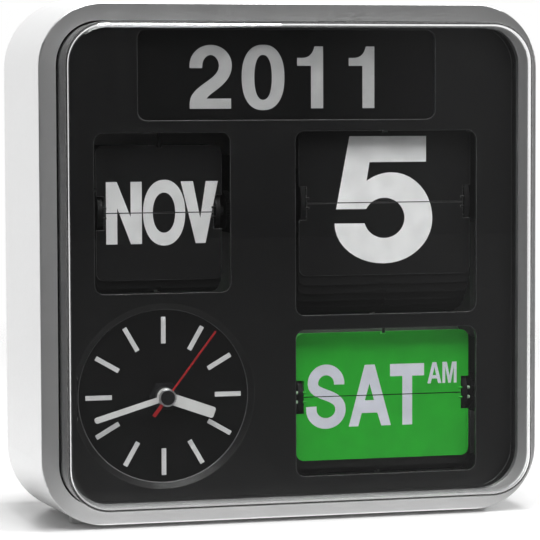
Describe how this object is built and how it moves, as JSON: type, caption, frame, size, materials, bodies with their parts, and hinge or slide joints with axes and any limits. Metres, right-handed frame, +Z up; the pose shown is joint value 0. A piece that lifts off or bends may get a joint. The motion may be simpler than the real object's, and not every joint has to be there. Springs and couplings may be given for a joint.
{
  "type": "flip calendar clock",
  "caption": "Square free-standing flip calendar clock: split-card month, date and weekday units and a quartz dial behind a clear box cover in a silver case.",
  "frame": {"origin": "on the floor under the feet, midway across the width and the depth", "axes": "+X to the right seen from the front, +Y to the back, +Z up"},
  "size_m": [0.216, 0.101, 0.2144],
  "materials": {
    "silver_paint": "silver metallic paint on moulded plastic",
    "clear_acrylic": "clear polished acrylic",
    "face_black": "satin black moulded plastic",
    "dial_black": "matt black printed sheet",
    "pale_print": "pale grey batons",
    "hand_satin": "pale satin painted aluminium",
    "hand_red": "red painted aluminium",
    "cap_black": "black cap with a bright rim",
    "movement_black": "black moulded housing",
    "brass": "bare brass",
    "knob_black": "black moulded plastic",
    "button_grey": "dark grey moulded plastic",
    "bracket_steel": "pressed zinc-plated steel",
    "drum_black": "black moulded plastic",
    "motor_can": "drawn steel can",
    "pinion_white": "natural acetal",
    "card_black": "satin black plastic sheet",
    "card_green": "satin green plastic sheet",
    "cell_wrap": "plain dark wrap",
    "board_green": "green board with parts",
    "switch_black": "black switch bodies",
    "foot_rubber": "grey rubber",
    "screw_steel": "plated steel"
  },
  "bodies": {
    "case": {"front_case": "silver_paint", "rear_cover": "silver_paint", "clear_cover": "clear_acrylic", "face_plate": "face_black", "year_card": "dial_black", "dial_plate": "dial_black", "hour_markers": "pale_print", "quartz_movement": "movement_black", "movement_nut": "cap_black", "month_bracket": "bracket_steel", "month_stop_finger": "drum_black", "month_motor": "motor_can", "date_bracket": "bracket_steel", "date_stop_finger": "drum_black", "date_motor": "motor_can", "weekday_bracket": "bracket_steel", "weekday_stop_finger": "drum_black", "weekday_motor": "motor_can", "batteries": "cell_wrap", "battery_contacts": "brass", "circuit_board": "board_green", "switches": "switch_black", "feet": "foot_rubber", "cover_screws": "screw_steel", "bracket_screws": "screw_steel", "board_screws": "screw_steel"},
    "hour_hand": {"hour_hand": "hand_satin"},
    "minute_hand": {"minute_hand": "hand_satin"},
    "second_hand": {"second_hand": "hand_red", "hand_cap": "cap_black"},
    "set_knob": {"set_knob": "knob_black"},
    "month_drum": {"month_drum": "drum_black", "month_card_pack": "card_black"},
    "month_upper_card": {"month_upper_card": "card_black"},
    "month_lower_card": {"month_lower_card": "card_black"},
    "month_pinion": {"month_pinion": "pinion_white"},
    "date_drum": {"date_drum": "drum_black", "date_card_pack": "card_black"},
    "date_upper_card": {"date_upper_card": "card_black"},
    "date_lower_card": {"date_lower_card": "card_black"},
    "date_pinion": {"date_pinion": "pinion_white"},
    "weekday_drum": {"weekday_drum": "drum_black", "weekday_card_pack": "card_green"},
    "weekday_upper_card": {"weekday_upper_card": "card_green"},
    "weekday_lower_card": {"weekday_lower_card": "card_green"},
    "weekday_pinion": {"weekday_pinion": "pinion_white"},
    "month_button": {"month_button": "button_grey"},
    "date_button": {"date_button": "button_grey"},
    "weekday_button": {"weekday_button": "button_grey"},
    "battery_door": {"battery_door": "silver_paint"}
  },
  "joints": [
    {"name": "minute_turn", "type": "hinge", "parent": "case", "child": "minute_hand", "pos_m": [-0.0528, -0.02195, 0.0521], "axis": [0, 1, 0], "continuous": true},
    {"name": "hour_turn", "type": "hinge", "parent": "case", "child": "hour_hand", "pos_m": [-0.0528, -0.02195, 0.0521], "axis": [0, 1, 0], "continuous": true},
    {"name": "set_knob_turn", "type": "hinge", "parent": "case", "child": "set_knob", "pos_m": [-0.0528, 0.05055, 0.0381], "axis": [0, 1, 0], "continuous": true},
    {"name": "second_turn", "type": "hinge", "parent": "case", "child": "second_hand", "pos_m": [-0.0528, -0.02195, 0.0521], "axis": [0, 1, 0], "continuous": true},
    {"name": "month_drum_step", "type": "hinge", "parent": "case", "child": "month_drum", "pos_m": [-0.05295, -0.00912, 0.1266], "axis": [1, 0, 0], "range_deg": [0, 30]},
    {"name": "month_upper_card_flip", "type": "hinge", "parent": "month_drum", "child": "month_upper_card", "pos_m": [-0.05295, -0.0165, 0.12858], "axis": [1, 0, 0], "range_deg": [0, 150.01]},
    {"name": "month_lower_card_hang", "type": "hinge", "parent": "month_drum", "child": "month_lower_card", "pos_m": [-0.05295, -0.0165, 0.12462], "axis": [1, 0, 0], "range_deg": [-30.01, 0]},
    {"name": "month_pinion_turn", "type": "hinge", "parent": "case", "child": "month_pinion", "pos_m": [-0.0267, 0.00133, 0.1266], "axis": [1, 0, 0], "range_deg": [-100.01, 0]},
    {"name": "date_drum_step", "type": "hinge", "parent": "case", "child": "date_drum", "pos_m": [0.04355, 0.00313, 0.1296], "axis": [1, 0, 0], "range_deg": [0, 11.61]},
    {"name": "date_upper_card_flip", "type": "hinge", "parent": "date_drum", "child": "date_upper_card", "pos_m": [0.04355, -0.0165, 0.1316], "axis": [1, 0, 0], "range_deg": [0, 168.4]},
    {"name": "date_lower_card_hang", "type": "hinge", "parent": "date_drum", "child": "date_lower_card", "pos_m": [0.04355, -0.0165, 0.1276], "axis": [1, 0, 0], "range_deg": [-11.62, 0]},
    {"name": "date_pinion_turn", "type": "hinge", "parent": "case", "child": "date_pinion", "pos_m": [0.0809, 0.01358, 0.1296], "axis": [1, 0, 0], "range_deg": [-38.72, 0]},
    {"name": "weekday_drum_step", "type": "hinge", "parent": "case", "child": "weekday_drum", "pos_m": [0.0425, -0.00781, 0.049], "axis": [1, 0, 0], "range_deg": [0, 25.71]},
    {"name": "weekday_upper_card_flip", "type": "hinge", "parent": "weekday_drum", "child": "weekday_upper_card", "pos_m": [0.0425, -0.0165, 0.05098], "axis": [1, 0, 0], "range_deg": [0, 154.3]},
    {"name": "weekday_lower_card_hang", "type": "hinge", "parent": "weekday_drum", "child": "weekday_lower_card", "pos_m": [0.0425, -0.0165, 0.04702], "axis": [1, 0, 0], "range_deg": [-25.72, 0]},
    {"name": "weekday_pinion_turn", "type": "hinge", "parent": "case", "child": "weekday_pinion", "pos_m": [0.0802, 0.00264, 0.049], "axis": [1, 0, 0], "range_deg": [-85.72, 0]},
    {"name": "month_button_press", "type": "slide", "parent": "case", "child": "month_button", "axis": [0, -1, 0], "range_m": [0, 0.0012], "stiffness_N_per_m": 400},
    {"name": "date_button_press", "type": "slide", "parent": "case", "child": "date_button", "axis": [0, -1, 0], "range_m": [0, 0.0012], "stiffness_N_per_m": 400},
    {"name": "weekday_button_press", "type": "slide", "parent": "case", "child": "weekday_button", "axis": [0, -1, 0], "range_m": [0, 0.0012], "stiffness_N_per_m": 400},
    {"name": "battery_door_slide", "type": "slide", "parent": "case", "child": "battery_door", "axis": [0, 0, -1], "range_m": [0, 0.034]}
  ],
  "couplings": [
    {"joint": "hour_turn", "follows": "minute_turn", "ratio": 0.083333},
    {"joint": "set_knob_turn", "follows": "minute_turn", "ratio": -0.33333},
    {"joint": "month_upper_card_flip", "follows": "month_drum_step", "ratio": 5},
    {"joint": "month_lower_card_hang", "follows": "month_drum_step", "ratio": -1},
    {"joint": "month_pinion_turn", "follows": "month_drum_step", "ratio": -3.3333},
    {"joint": "date_upper_card_flip", "follows": "date_drum_step", "ratio": 14.5},
    {"joint": "date_lower_card_hang", "follows": "date_drum_step", "ratio": -1},
    {"joint": "date_pinion_turn", "follows": "date_drum_step", "ratio": -3.3333},
    {"joint": "weekday_upper_card_flip", "follows": "weekday_drum_step", "ratio": 6},
    {"joint": "weekday_lower_card_hang", "follows": "weekday_drum_step", "ratio": -1},
    {"joint": "weekday_pinion_turn", "follows": "weekday_drum_step", "ratio": -3.3333}
  ]
}
